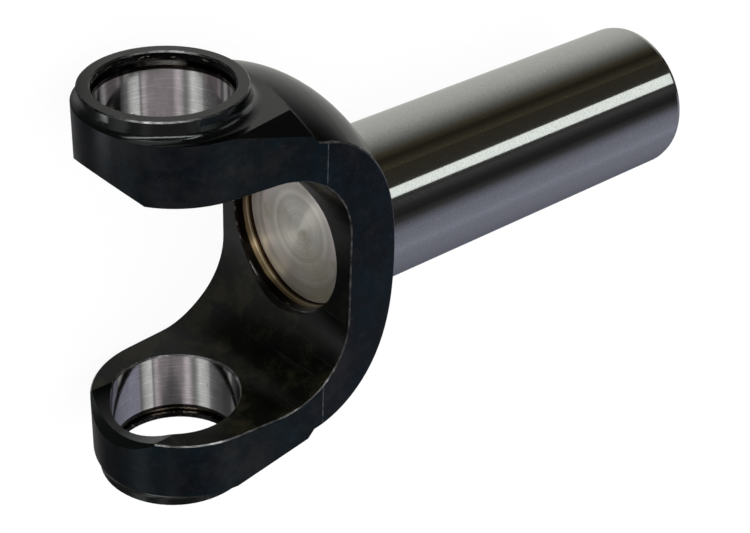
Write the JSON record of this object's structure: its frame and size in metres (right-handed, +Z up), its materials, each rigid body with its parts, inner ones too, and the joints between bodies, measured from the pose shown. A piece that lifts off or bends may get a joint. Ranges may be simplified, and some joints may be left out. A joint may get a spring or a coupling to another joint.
{
  "type": "forged yoke",
  "caption": "Forged slip yoke with two bored ears round an open gap and a ground barrel with an internal spline, closed behind the gap by a pressed plug.",
  "frame": {"origin": "centre of the joint, on the axis of the two cross bores midway between the ears", "axes": "+X along the barrel away from the joint, +Y along the cross bores, +Z up as the yoke lies on its flat side"},
  "size_m": [0.1704, 0.0984, 0.0478],
  "materials": {
    "yoke_forging": "black oxide on the ears and base, ground bright barrel and bores",
    "end_plug": "turned bright steel"
  },
  "bodies": {
    "root": {"yoke_forging": "yoke_forging", "end_plug": "end_plug"}
  },
  "joints": []
}
